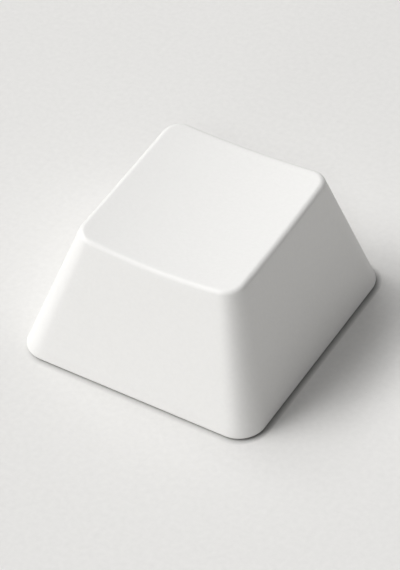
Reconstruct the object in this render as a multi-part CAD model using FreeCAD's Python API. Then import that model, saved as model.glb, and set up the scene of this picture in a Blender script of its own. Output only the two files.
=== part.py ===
# Blank one-unit keycap, moulded in one piece.
# Millimetres. The origin is the middle of the rim's underside, +Z is up,
# -Y is the front (the typist's side) and +X is the right.
import FreeCAD
import Part
import math
import os

from FreeCAD import Placement, Rotation, Vector

# Outer shell, with each outline given before its edge is rounded
base_width = 18.27             # rim, left to right
base_depth = 18.27             # rim, front to back
base_corner_radius = 1.9       # upright corners at the rim
top_width = 12.17              # top face, left to right
top_depth = 12.42              # top face, front to back along its slope
top_corner_radius = 1.33       # upright corners at the top face
top_height = 9.11              # middle of the top face, before it is dished, above the rim
top_setback = 0.95             # middle of the top face behind the middle of the rim
top_tilt_deg = 2.1             # the top face rises towards the back
top_edge_radius = 0.42         # rounding around the top face
rim_edge_radius = 0.22         # rounding around the outside of the rim

# Finger dish, a shallow bowl that is curved more from side to side than from front to back
dish_sag_across = 0.35         # its middle below a straight line from side to side
dish_sag_along = 0.13          # its middle below a straight line from front to back

# Inside of the shell
wall = 1.3                     # measured level, the same all the way up
roof = 1.5                     # under the middle of the dish
inner_corner_radius = 0.8      # upright corners of the hollow
ceiling_edge_radius = 0.5      # rounding where the walls meet the ceiling

# Post with the cross socket that a switch stem presses into
socket_length = 4.1            # each slot of the cross, end to end
slot_width_left_right = 1.2    # the slot that runs left to right
slot_width_front_back = 1.3    # the slot that runs front to back
socket_depth = 4.2
socket_lead_in = 0.2           # chamfer around the mouth of the socket
post_wall = 0.7                # post outside the ends of the slots
post_recess = 0.6              # end of the post above the rim
post_chamfer = 0.25            # around the end of the post

# Ribs from the post to the four walls
rib_thickness = 1.0
key_travel = 4.0               # how far a pressed key comes down over its switch
travel_clearance = 0.3         # ribs above the switch when the key is down

# How far blanks and tools run past the faces that trim them, as a share of the height
overrun = 0.2

top_tilt = math.radians(top_tilt_deg)
dish_depth = dish_sag_across + dish_sag_along
ceiling_height = top_height - dish_depth - roof
post_radius = socket_length / 2 + post_wall
rib_underside = post_recess + key_travel + travel_clearance
tool_height = top_height * (1 + overrun)

UP = Vector(0, 0, 1)
DOWN = Vector(0, 0, -1)


def blend(at_rim, at_top, level):
    """Value at a level between the rim (0) and the top face (1), or past either."""
    return at_rim + (at_top - at_rim) * level


def top_edge_middle(side):
    """Middle of the top face's front edge (side -1) or back edge (side 1)."""
    half = side * top_depth / 2
    return Vector(0, top_setback + half * math.cos(top_tilt), top_height + half * math.sin(top_tilt))


def rounded_rectangle(width, depth, radius):
    """Closed outline with round corners, level and centred on the origin."""
    bend = radius * (1 - math.sqrt(0.5))
    edges = []
    for turn in range(4):
        along, out = (width / 2, depth / 2) if turn % 2 == 0 else (depth / 2, width / 2)
        side_start = Vector(radius - along, -out, 0)
        corner_start = Vector(along - radius, -out, 0)
        corner_middle = Vector(along - bend, bend - out, 0)
        corner_end = Vector(along, radius - out, 0)
        side = Part.LineSegment(side_start, corner_start)
        corner = Part.Arc(corner_start, corner_middle, corner_end)
        for curve in (side, corner):
            edge = curve.toShape()
            edge.rotate(Vector(0, 0, 0), UP, 90 * turn)
            edges.append(edge)
    return Part.Wire(edges)


def outline_at(level, inset, corner_radius):
    """Outline of the shell, or one inset from it, at a level from the rim (0) to the top face (1)."""
    front = blend(Vector(0, -base_depth / 2, 0), top_edge_middle(-1), level)
    back = blend(Vector(0, base_depth / 2, 0), top_edge_middle(1), level)
    width = blend(base_width, top_width, level) - 2 * inset
    depth = (back - front).Length - 2 * inset
    tilt_deg = math.degrees(math.atan2(back.z - front.z, back.y - front.y))
    outline = rounded_rectangle(width, depth, corner_radius)
    outline.Placement = Placement((front + back) / 2, Rotation(Vector(1, 0, 0), tilt_deg))
    return outline


def edges_of_end_face(shape, direction):
    """Edges of the face that lies furthest in a direction."""
    face = max(shape.Faces, key=lambda candidate: candidate.CenterOfMass.dot(direction))
    return face.Edges


def sag_radius(length, sag):
    """Radius of the arc that sags by a given amount over a length."""
    return ((length / 2) ** 2 + sag ** 2) / (2 * sag)


def dish_tool():
    """Ring, far larger than the cap, whose lowest stretch scoops out the dish."""
    across_radius = sag_radius(top_width, dish_sag_across)
    along_radius = sag_radius(top_depth, dish_sag_along)
    ring_radius = along_radius - across_radius
    upright = Vector(0, -math.sin(top_tilt), math.cos(top_tilt))
    ring_middle = Vector(0, top_setback, top_height) + upright * (along_radius - dish_depth)
    return Part.makeTorus(ring_radius, across_radius, ring_middle, Vector(1, 0, 0), -180, 180)


def outer_shell():
    """Tapered block with the dish and its rounded edges, still solid inside."""
    above_top = 1 + overrun
    rim = outline_at(0, 0, base_corner_radius)
    over_top = outline_at(above_top, 0, blend(base_corner_radius, top_corner_radius, above_top))
    shell = Part.makeLoft([rim, over_top], True, True).cut(dish_tool())
    shell = shell.makeFillet(top_edge_radius, edges_of_end_face(shell, UP))
    return shell.makeFillet(rim_edge_radius, edges_of_end_face(shell, DOWN))


def hollow():
    """Space inside the walls, up to the ceiling and open at the rim."""
    below_rim = outline_at(-overrun, wall, inner_corner_radius)
    ceiling = outline_at(ceiling_height / top_height, wall, inner_corner_radius)
    space = Part.makeLoft([below_rim, ceiling], True, True)
    return space.makeFillet(ceiling_edge_radius, edges_of_end_face(space, UP))


def centred_box(length_x, length_y, bottom, top):
    """Upright box around the post's axis."""
    return Part.makeBox(length_x, length_y, top - bottom, Vector(-length_x / 2, -length_y / 2, bottom))


def rectangle(length_x, length_y, height):
    """Closed rectangle around the post's axis."""
    x, y = length_x / 2, length_y / 2
    corners = [Vector(-x, -y, height), Vector(x, -y, height), Vector(x, y, height), Vector(-x, y, height)]
    return Part.makePolygon(corners + corners[:1])


def socket_slot(length_x, length_y):
    """One blind slot of the cross, with its chamfered mouth at the end of the post."""
    flare = 2 * socket_lead_in
    mouth = rectangle(length_x + flare, length_y + flare, post_recess)
    throat = rectangle(length_x, length_y, post_recess + socket_lead_in)
    slot = centred_box(length_x, length_y, post_recess, post_recess + socket_depth)
    return slot.fuse(Part.makeLoft([mouth, throat], True, True))


def post():
    """Round post that runs up into the roof."""
    body = Part.makeCylinder(post_radius, tool_height - post_recess, Vector(0, 0, post_recess))
    return body.makeChamfer(post_chamfer, edges_of_end_face(body, DOWN))


def ribs():
    """Two crossing plates under the ceiling, which tie the post to the walls."""
    left_right = centred_box(base_width, rib_thickness, rib_underside, tool_height)
    front_back = centred_box(rib_thickness, base_depth, rib_underside, tool_height)
    return left_right.fuse(front_back)


def keycap():
    """The whole cap: the shell less its hollow, which leaves the post and ribs standing."""
    left_right_slot = socket_slot(socket_length, slot_width_left_right)
    front_back_slot = socket_slot(slot_width_front_back, socket_length)
    core = post().fuse(ribs()).cut(left_right_slot).cut(front_back_slot)
    return outer_shell().cut(hollow().cut(core))


os.makedirs("parts", exist_ok=True)
keycap().exportStep("parts/keycap.step")
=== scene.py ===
import math

import bmesh
import bpy
from mathutils import Matrix, Vector


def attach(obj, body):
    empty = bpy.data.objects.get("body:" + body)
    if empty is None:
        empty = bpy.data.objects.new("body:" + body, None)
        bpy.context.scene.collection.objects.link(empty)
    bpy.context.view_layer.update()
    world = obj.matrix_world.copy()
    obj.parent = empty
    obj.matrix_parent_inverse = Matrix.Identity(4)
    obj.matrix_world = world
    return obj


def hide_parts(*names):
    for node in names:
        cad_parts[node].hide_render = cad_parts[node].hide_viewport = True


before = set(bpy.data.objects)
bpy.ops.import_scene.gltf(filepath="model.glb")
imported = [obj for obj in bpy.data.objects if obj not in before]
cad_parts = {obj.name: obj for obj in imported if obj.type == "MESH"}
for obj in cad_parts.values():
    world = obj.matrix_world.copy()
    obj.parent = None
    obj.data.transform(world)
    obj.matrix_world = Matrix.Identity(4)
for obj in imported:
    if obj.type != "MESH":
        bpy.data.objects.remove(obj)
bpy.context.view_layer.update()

MM = 0.001

# Outer shell in millimetres, with each outline given before its edge is rounded
BASE_WIDTH = 18.27
BASE_DEPTH = 18.27
BASE_CORNER_RADIUS = 1.9
TOP_WIDTH = 12.17
TOP_DEPTH = 12.42
TOP_CORNER_RADIUS = 1.33
TOP_HEIGHT = 9.11
TOP_SETBACK = 0.95
TOP_TILT = math.radians(2.1)
TOP_EDGE_RADIUS = 0.42
RIM_EDGE_RADIUS = 0.17  # 0.05 less than the solid's, for the place of the dark line under the rim
DISH_SAG_ACROSS = 0.35
DISH_SAG_ALONG = 0.13

# Inside of the shell, the post with its cross socket, and the ribs, in millimetres
WALL = 1.3
ROOF = 1.5
INNER_CORNER_RADIUS = 0.8
CEILING_EDGE_RADIUS = 0.5
SOCKET_LENGTH = 4.1
SLOT_WIDTH_LEFT_RIGHT = 1.2
SLOT_WIDTH_FRONT_BACK = 1.3
SOCKET_DEPTH = 4.2
SOCKET_LEAD_IN = 0.2
POST_WALL = 0.7
POST_RECESS = 0.6
POST_CHAMFER = 0.25
RIB_THICKNESS = 1.0
RIB_UNDERSIDE = 4.9

# How far blanks and tools run past the faces that trim them, as a share of the height
OVERRUN = 0.2

# Fineness of the mesh
ARC_STEPS = 8
SIDE_STEPS = 28
TOP_EDGE_STEPS = 10
WALL_STEPS = 16
RIM_EDGE_STEPS = 6
CEILING_EDGE_STEPS = 6
INNER_WALL_STEPS = 8
POST_STEPS = 96
DISH_SEARCH_STEPS = 40
MERGE_DISTANCE = 1e-5 * MM
SHARP_ANGLE = math.radians(35)

# Camera, fitted to the edges of the cap in the picture
FRAME_HEIGHT_PX = 570
FOCAL_PX = 2435.3
SENSOR_WIDTH_MM = 36.0
CAMERA_AIM = Vector((0.844, -1.3, 4.0)) * MM
CAMERA_DISTANCE = 160.0 * MM
CAMERA_NEAREST = 5.0 * MM
CAMERA_AZIMUTH = math.radians(34.44)
CAMERA_ELEVATION = math.radians(44.42)
CAMERA_ROLL = math.radians(-4.32)

# Plastic, with the grain's scale in grains to the metre and its height in metres
PLASTIC_COLOR = (0.86, 0.853, 0.835)
PLASTIC_COLOR_VARIATION = 0.025
PLASTIC_ROUGHNESS = 0.5
PLASTIC_ROUGHNESS_VARIATION = 0.04
PLASTIC_GRAIN_SCALE = 4000.0
PLASTIC_GRAIN_HEIGHT = 8.0e-6
GRAIN_DETAIL = 2.0

# Paper floor in metres, with a painted contact shade that looks towards the lamps and so is weaker on
# their side
FLOOR_RADIUS = 1.5
FLOOR_SIDES = 64
FLOOR_COLOR = (0.787, 0.779, 0.763)
FLOOR_COLOR_VARIATION = 0.045
FLOOR_ROUGHNESS = 0.9
FLOOR_GRAIN_SCALE = 2600.0
PAINTED_SHADE_REACH = 0.45 * MM
PAINTED_SHADE_FACING = (-0.95, 0.12, 0.3)

# Faint sky, and soft suns by their angle from +X, height and spread in degrees, and their strength
WORLD_COLOR = (1.0, 0.99, 0.975, 1.0)
WORLD_STRENGTH = 0.006
SUNS = {
    "key": (201, 48, 19, 0.72),
    "key_front": (215, 45, 22, 0.97),
    "key_left": (182, 47, 13, 0.69),
    "key_back": (154, 50, 29, 0.93),
    "front_fill": (274, 2, 22, 1.13),
    "front_soft": (296, 42, 12, 0.31),
    "back_fill": (67, 39, 78, 0.55),
}

ACROSS = Vector((1, 0, 0))
DOWN = Vector((0, 0, -1))
TOP_ALONG = Vector((0, math.cos(TOP_TILT), math.sin(TOP_TILT)))
TOP_UPRIGHT = Vector((0, -math.sin(TOP_TILT), math.cos(TOP_TILT)))
TOP_MIDDLE = Vector((0, TOP_SETBACK, TOP_HEIGHT))
DISH_DEPTH = DISH_SAG_ACROSS + DISH_SAG_ALONG
CEILING_HEIGHT = TOP_HEIGHT - DISH_DEPTH - ROOF
TOOL_HEIGHT = TOP_HEIGHT * (1 + OVERRUN)


def blend(start, end, share):
    """Value at a share of the way from start to end, or past either."""
    return start + (end - start) * share


def rounded_rectangle(width, depth, radius):
    """Points of the outline with their directions along it, as many on each side as on the next."""
    outline = []
    for side in range(4):
        along, out = (width / 2, depth / 2) if side % 2 == 0 else (depth / 2, width / 2)
        stretch = along - radius
        stops = [(-stretch, math.radians(45) * (step / ARC_STEPS - 1)) for step in range(ARC_STEPS)]
        stops += [(blend(-stretch, stretch, step / SIDE_STEPS), 0.0) for step in range(SIDE_STEPS)]
        stops += [(stretch, math.radians(45) * step / ARC_STEPS) for step in range(ARC_STEPS)]
        turn = Matrix.Rotation(math.radians(90) * side, 3, "Z")
        for middle, angle in stops:
            point = Vector((middle + radius * math.sin(angle), radius - out - radius * math.cos(angle), 0))
            direction = Vector((math.cos(angle), math.sin(angle), 0))
            outline.append((turn @ point, turn @ direction))
    return outline


def outline_at(level, inset, corner_radius):
    """Outline of the shell, or one inset from it, at a level from the rim (0) to the top face (1)."""
    front = blend(Vector((0, -BASE_DEPTH / 2, 0)), TOP_MIDDLE - TOP_ALONG * (TOP_DEPTH / 2), level)
    back = blend(Vector((0, BASE_DEPTH / 2, 0)), TOP_MIDDLE + TOP_ALONG * (TOP_DEPTH / 2), level)
    width = blend(BASE_WIDTH, TOP_WIDTH, level) - 2 * inset
    depth = (back - front).length - 2 * inset
    middle = (front + back) / 2
    along = (back - front).normalized()
    return [(middle + ACROSS * point.x + along * point.y, ACROSS * direction.x + along * direction.y)
            for point, direction in rounded_rectangle(width, depth, corner_radius)]


def sag_radius(length, sag):
    """Radius of the arc that sags by a given amount over a length."""
    return ((length / 2) ** 2 + sag ** 2) / (2 * sag)


DISH_ACROSS_RADIUS = sag_radius(TOP_WIDTH, DISH_SAG_ACROSS)
DISH_ALONG_RADIUS = sag_radius(TOP_DEPTH, DISH_SAG_ALONG)


def dish_height(x, y):
    """Height of the dish over the flat top face, part of a ring that is curved both ways."""
    ring = DISH_ALONG_RADIUS - DISH_ACROSS_RADIUS + math.sqrt(DISH_ACROSS_RADIUS ** 2 - x ** 2)
    return DISH_ALONG_RADIUS - DISH_DEPTH - math.sqrt(ring ** 2 - y ** 2)


def on_dish(point):
    """Point of the dish over or under a point near the top face."""
    x = point.x
    y = (point - TOP_MIDDLE).dot(TOP_ALONG)
    return TOP_MIDDLE + ACROSS * x + TOP_ALONG * y + TOP_UPRIGHT * dish_height(x, y)


def dish_normal(point):
    """Direction out of the dish, from the centres of the ring's two curves."""
    ring_axis = TOP_MIDDLE + TOP_UPRIGHT * (DISH_ALONG_RADIUS - DISH_DEPTH)
    out = point - ring_axis
    out.x = 0
    ring_centre = ring_axis + out.normalized() * (DISH_ALONG_RADIUS - DISH_ACROSS_RADIUS)
    return (ring_centre - point).normalized()


def meet_dish(low, high):
    """Share of the way from low to high at which the straight line between them meets the dish."""
    below, above = 0.0, 1.0
    for _ in range(DISH_SEARCH_STEPS):
        share = (below + above) / 2
        point = blend(low, high, share)
        if (point - on_dish(point)).dot(TOP_UPRIGHT) < 0:
            below = share
        else:
            above = share
    return below


def rounded_edge(point, first, second, radius, steps):
    """Arc that rounds the edge at a point between two faces, which are given by their normals."""
    centre = point - (first + second) * (radius / (1 + first.dot(second)))
    return [centre + first.slerp(second, step / steps) * radius for step in range(steps + 1)]


def straight_run(start, end, steps):
    """Points between two others, without the two."""
    return [blend(start, end, step / steps) for step in range(1, steps)]


def outer_columns():
    """For each point of the outline, a line of points from the dish over the edge and down to the rim."""
    above_top = 1 + OVERRUN
    rim = outline_at(0, 0, BASE_CORNER_RADIUS)
    over_top = outline_at(above_top, 0, blend(BASE_CORNER_RADIUS, TOP_CORNER_RADIUS, above_top))
    columns = []
    for (low, low_along), (high, high_along) in zip(rim, over_top):
        share = meet_dish(low, high)
        edge = blend(low, high, share)
        wall_at_top = blend(low_along, high_along, share).cross(high - low).normalized()
        wall_at_rim = low_along.cross(high - low).normalized()
        top_arc = rounded_edge(edge, dish_normal(edge), wall_at_top, TOP_EDGE_RADIUS, TOP_EDGE_STEPS)
        rim_arc = rounded_edge(low, wall_at_rim, DOWN, RIM_EDGE_RADIUS, RIM_EDGE_STEPS)
        columns.append(top_arc + straight_run(top_arc[-1], rim_arc[0], WALL_STEPS) + rim_arc)
    return columns


def hollow_columns():
    """For each point of the inner outline, a line of points from the ceiling down to below the rim."""
    below_rim = outline_at(-OVERRUN, WALL, INNER_CORNER_RADIUS)
    ceiling = outline_at(CEILING_HEIGHT / TOP_HEIGHT, WALL, INNER_CORNER_RADIUS)
    front, back = ceiling[0][0], ceiling[len(ceiling) // 2][0]
    ceiling_up = ACROSS.cross(Vector((0, back.y - front.y, back.z - front.z))).normalized()
    columns = []
    for (low, _), (high, high_along) in zip(below_rim, ceiling):
        wall_out = high_along.cross(high - low).normalized()
        arc = rounded_edge(high, ceiling_up, wall_out, CEILING_EDGE_RADIUS, CEILING_EDGE_STEPS)
        columns.append(arc + straight_run(arc[-1], low, INNER_WALL_STEPS) + [low])
    return columns


def patch_points(ring):
    """Square grid of points that fills a ring of four sides, each inner point blended from all four."""
    count = len(ring) // 4
    front = ring[:count + 1]
    right = ring[count:2 * count + 1]
    back = ring[2 * count:3 * count + 1][::-1]
    left = (ring[3 * count:] + ring[:1])[::-1]
    grid = []
    for row in range(count + 1):
        v = row / count
        line = []
        for column in range(count + 1):
            u = column / count
            from_sides = blend(front[column], back[column], v) + blend(left[row], right[row], u)
            from_corners = blend(blend(front[0], front[-1], u), blend(back[0], back[-1], u), v)
            line.append(from_sides - from_corners)
        grid.append(line)
    return grid


def loft(bm, loops):
    """Faces between closed loops of points, which all have the same count. Returns the loops' vertices."""
    rings = [[bm.verts.new(point * MM) for point in loop] for loop in loops]
    for upper, lower in zip(rings, rings[1:]):
        for here in range(len(upper)):
            after = (here + 1) % len(upper)
            bm.faces.new((upper[here], lower[here], lower[after], upper[after]))
    return rings


def as_object(bm, name):
    """Object in the scene from a mesh being built, with doubled points merged."""
    bmesh.ops.remove_doubles(bm, verts=bm.verts, dist=MERGE_DISTANCE)
    bmesh.ops.recalc_face_normals(bm, faces=bm.faces)
    mesh = bpy.data.meshes.new(name)
    bm.to_mesh(mesh)
    bm.free()
    made = bpy.data.objects.new(name, mesh)
    bpy.context.scene.collection.objects.link(made)
    return made


def capped_loft(name, loops):
    """Closed solid with a flat face at each end."""
    bm = bmesh.new()
    rings = loft(bm, loops)
    bm.faces.new(rings[0])
    bm.faces.new(rings[-1])
    return as_object(bm, name)


def shell_loft(name, columns, place):
    """Closed solid from columns of points, with a grid of faces on top and a flat face below."""
    bm = bmesh.new()
    loops = list(zip(*columns))
    rings = loft(bm, loops)
    bm.faces.new(rings[-1])
    grid = patch_points(list(loops[0]))
    last = len(grid) - 1
    rows = []
    for row, line in enumerate(grid):
        inner = 0 < row < last
        rows.append([bm.verts.new((place(point) if inner and 0 < column < last else point) * MM)
                     for column, point in enumerate(line)])
    for lower, upper in zip(rows, rows[1:]):
        for column in range(last):
            bm.faces.new((lower[column], lower[column + 1], upper[column + 1], upper[column]))
    return as_object(bm, name)


def rectangle(length_x, length_y, height):
    """Corners of a level rectangle around the post's axis."""
    x, y = length_x / 2, length_y / 2
    return [Vector((*corner, height)) for corner in ((-x, -y), (x, -y), (x, y), (-x, y))]


def circle(radius, height, steps):
    """Points of a level circle around the post's axis."""
    angles = [2 * math.pi * step / steps for step in range(steps)]
    return [Vector((radius * math.cos(angle), radius * math.sin(angle), height)) for angle in angles]


def box(name, length_x, length_y, bottom, top):
    """Upright box around the post's axis."""
    return capped_loft(name, [rectangle(length_x, length_y, top), rectangle(length_x, length_y, bottom)])


def slot(name, length_x, length_y):
    """One slot of the cross, with the flare of its mouth carried on a little below the end of the post."""
    flare = 2 * SOCKET_LEAD_IN
    top = POST_RECESS + SOCKET_DEPTH
    throat = POST_RECESS + SOCKET_LEAD_IN
    below = POST_RECESS - SOCKET_LEAD_IN
    return capped_loft(name, [
        rectangle(length_x, length_y, top),
        rectangle(length_x, length_y, throat),
        rectangle(length_x + 2 * flare, length_y + 2 * flare, below),
    ])


def post():
    """Round post with a chamfered end, which runs up into the roof."""
    radius = SOCKET_LENGTH / 2 + POST_WALL
    return capped_loft("post", [
        circle(radius, TOOL_HEIGHT, POST_STEPS),
        circle(radius, POST_RECESS + POST_CHAMFER, POST_STEPS),
        circle(radius - POST_CHAMFER, POST_RECESS, POST_STEPS),
    ])


def combine(body, operation, tool):
    """Add a tool to a body, or take it away, and delete the tool."""
    modifier = body.modifiers.new(operation.lower(), "BOOLEAN")
    modifier.operation = operation
    modifier.solver = "EXACT"
    modifier.object = tool
    result = bpy.data.meshes.new_from_object(body.evaluated_get(bpy.context.evaluated_depsgraph_get()))
    body.modifiers.clear()
    old = body.data
    body.data = result
    bpy.data.meshes.remove(old)
    used = tool.data
    bpy.data.objects.remove(tool)
    bpy.data.meshes.remove(used)


def add_cap():
    """The whole cap: the shell less its hollow, which leaves the post and ribs standing."""
    space = shell_loft("hollow", hollow_columns(), lambda point: point)
    combine(space, "DIFFERENCE", post())
    combine(space, "DIFFERENCE", box("rib", BASE_WIDTH, RIB_THICKNESS, RIB_UNDERSIDE, TOOL_HEIGHT))
    combine(space, "DIFFERENCE", box("rib", RIB_THICKNESS, BASE_DEPTH, RIB_UNDERSIDE, TOOL_HEIGHT))
    combine(space, "UNION", slot("slot", SOCKET_LENGTH, SLOT_WIDTH_LEFT_RIGHT))
    combine(space, "UNION", slot("slot", SLOT_WIDTH_FRONT_BACK, SOCKET_LENGTH))
    cap = shell_loft("cap", outer_columns(), on_dish)
    combine(cap, "DIFFERENCE", space)
    cap.data.polygons.foreach_set("use_smooth", [True] * len(cap.data.polygons))
    cap.data.set_sharp_from_angle(angle=SHARP_ANGLE)
    weighted = cap.modifiers.new("weighted normals", "WEIGHTED_NORMAL")
    weighted.keep_sharp = True
    return cap


def new_nodes(material):
    """Empty node tree of a material."""
    material.use_nodes = True
    tree = material.node_tree
    tree.nodes.clear()
    return tree


def add_noise(tree, scale):
    """Fine noise fixed to the object, with a given count of grains to the metre."""
    place = tree.nodes.new("ShaderNodeTexCoord")
    noise = tree.nodes.new("ShaderNodeTexNoise")
    noise.inputs["Scale"].default_value = scale
    noise.inputs["Detail"].default_value = GRAIN_DETAIL
    tree.links.new(place.outputs["Object"], noise.inputs["Vector"])
    return noise


def add_tint(tree, noise, color, variation):
    """Colour that the noise makes a little darker and lighter."""
    mix = tree.nodes.new("ShaderNodeMix")
    mix.data_type = "RGBA"
    mix.inputs["A"].default_value = [channel * (1 - variation) for channel in color] + [1.0]
    mix.inputs["B"].default_value = [channel * (1 + variation) for channel in color] + [1.0]
    tree.links.new(noise.outputs["Fac"], mix.inputs["Factor"])
    return mix


def add_shader(tree, tint):
    """Surface shader that takes its colour from another node's output."""
    output = tree.nodes.new("ShaderNodeOutputMaterial")
    shader = tree.nodes.new("ShaderNodeBsdfPrincipled")
    tree.links.new(tint, shader.inputs["Base Color"])
    tree.links.new(shader.outputs["BSDF"], output.inputs["Surface"])
    return shader


def plastic_material():
    """Matte moulded plastic with a very fine grain."""
    material = bpy.data.materials.new("matte_plastic")
    tree = new_nodes(material)
    grain = add_noise(tree, PLASTIC_GRAIN_SCALE)
    tint = add_tint(tree, grain, PLASTIC_COLOR, PLASTIC_COLOR_VARIATION)
    shader = add_shader(tree, tint.outputs["Result"])
    gloss = tree.nodes.new("ShaderNodeMapRange")
    gloss.inputs["To Min"].default_value = PLASTIC_ROUGHNESS - PLASTIC_ROUGHNESS_VARIATION
    gloss.inputs["To Max"].default_value = PLASTIC_ROUGHNESS + PLASTIC_ROUGHNESS_VARIATION
    tree.links.new(grain.outputs["Fac"], gloss.inputs["Value"])
    tree.links.new(gloss.outputs["Result"], shader.inputs["Roughness"])
    bump = tree.nodes.new("ShaderNodeBump")
    bump.inputs["Distance"].default_value = PLASTIC_GRAIN_HEIGHT
    tree.links.new(grain.outputs["Fac"], bump.inputs["Height"])
    tree.links.new(bump.outputs["Normal"], shader.inputs["Normal"])
    return material


def floor_material():
    """Matte paper with a fine grain, and a painted shade that darkens it where something stands close over
    it.
    """
    material = bpy.data.materials.new("floor_paper")
    tree = new_nodes(material)
    grain = add_noise(tree, FLOOR_GRAIN_SCALE)
    tint = add_tint(tree, grain, FLOOR_COLOR, FLOOR_COLOR_VARIATION)
    # Painted shade: the floor's colour is darkened where the cap lies within reach, counted over a half
    # sphere that looks towards the lamps
    painted_shade_facing = tree.nodes.new("ShaderNodeNormal")
    painted_shade_facing.outputs["Normal"].default_value = PAINTED_SHADE_FACING
    painted_shade = tree.nodes.new("ShaderNodeAmbientOcclusion")
    painted_shade.inputs["Distance"].default_value = PAINTED_SHADE_REACH
    tree.links.new(tint.outputs["Result"], painted_shade.inputs["Color"])
    tree.links.new(painted_shade_facing.outputs["Normal"], painted_shade.inputs["Normal"])
    shader = add_shader(tree, painted_shade.outputs["Color"])
    shader.inputs["Roughness"].default_value = FLOOR_ROUGHNESS
    shader.inputs["Specular IOR Level"].default_value = 0.0
    return material


def add_floor():
    """Wide round floor that the cap stands on."""
    mesh = bpy.data.meshes.new("floor")
    mesh.from_pydata(circle(FLOOR_RADIUS, 0.0, FLOOR_SIDES), [], [list(range(FLOOR_SIDES))])
    floor = bpy.data.objects.new("floor", mesh)
    bpy.context.scene.collection.objects.link(floor)
    mesh.materials.append(floor_material())


def add_sun(name, azimuth, elevation, spread, strength):
    """Soft distant light, with its direction and spread in degrees."""
    light = bpy.data.lights.new(name, "SUN")
    light.angle = math.radians(spread)
    light.energy = strength
    lamp = bpy.data.objects.new(name, light)
    bpy.context.scene.collection.objects.link(lamp)
    level = math.cos(math.radians(elevation))
    turn = math.radians(azimuth)
    away = Vector((level * math.cos(turn), level * math.sin(turn), math.sin(math.radians(elevation))))
    lamp.rotation_euler = away.to_track_quat("Z", "Y").to_euler()


def add_world():
    """Faint even light from all round."""
    world = bpy.data.worlds.new("studio")
    bpy.context.scene.world = world
    world.use_nodes = True
    background = world.node_tree.nodes["Background"]
    background.inputs["Color"].default_value = WORLD_COLOR
    background.inputs["Strength"].default_value = WORLD_STRENGTH


def add_camera():
    """Camera at the picture's viewing angle, turned a little about its own axis."""
    level_right = Vector((math.cos(CAMERA_AZIMUTH), math.sin(CAMERA_AZIMUTH), 0.0))
    level_back = Vector((math.sin(CAMERA_AZIMUTH), -math.cos(CAMERA_AZIMUTH), 0.0))
    back = level_back * math.cos(CAMERA_ELEVATION) - DOWN * math.sin(CAMERA_ELEVATION)
    level_up = back.cross(level_right)
    right = level_right * math.cos(CAMERA_ROLL) + level_up * math.sin(CAMERA_ROLL)
    up = back.cross(right)
    data = bpy.data.cameras.new("camera")
    data.sensor_width = SENSOR_WIDTH_MM
    data.lens = FOCAL_PX / FRAME_HEIGHT_PX * SENSOR_WIDTH_MM
    data.clip_start = CAMERA_NEAREST
    camera = bpy.data.objects.new("camera", data)
    bpy.context.scene.collection.objects.link(camera)
    turn = Matrix((right, up, back)).transposed().to_4x4()
    camera.matrix_world = Matrix.Translation(CAMERA_AIM + back * CAMERA_DISTANCE) @ turn
    bpy.context.scene.camera = camera


cap = add_cap()
cap.data.materials.clear()
cap.data.materials.append(plastic_material())
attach(cap, "root")
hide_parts("keycap")

add_floor()
add_world()
for name, (azimuth, elevation, spread, strength) in SUNS.items():
    add_sun(name, azimuth, elevation, spread, strength)
add_camera()
bpy.context.scene.view_settings.view_transform = "Standard"
